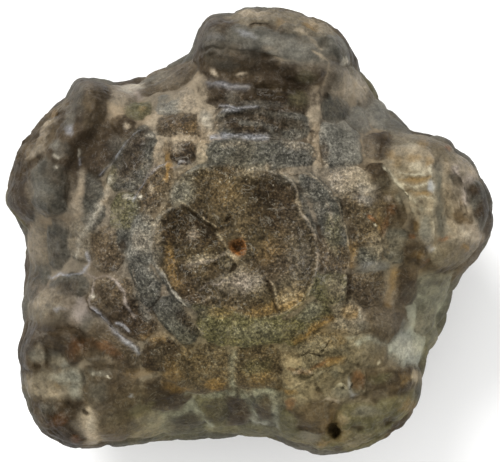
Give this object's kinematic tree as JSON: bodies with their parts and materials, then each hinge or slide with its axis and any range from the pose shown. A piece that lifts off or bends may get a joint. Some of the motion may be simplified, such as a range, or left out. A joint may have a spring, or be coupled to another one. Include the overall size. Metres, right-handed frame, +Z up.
{
  "type": "crinoid fossil",
  "caption": "Stony cup of a fossil sea lily, lying on its worn crown with the stem facet up and broken arm lobes round it.",
  "frame": {"origin": "bottom centre of the bounding box, on the worn flat of the crown", "axes": "+Z up out of the stem facet, +X along the longest side, through the lobe with the tan broken end, +Y towards the lobe with the tallest brow"},
  "size_m": [0.039, 0.0358, 0.0235],
  "materials": {
    "calcite": null
  },
  "bodies": {
    "root": {"theca": "calcite"}
  },
  "joints": []
}
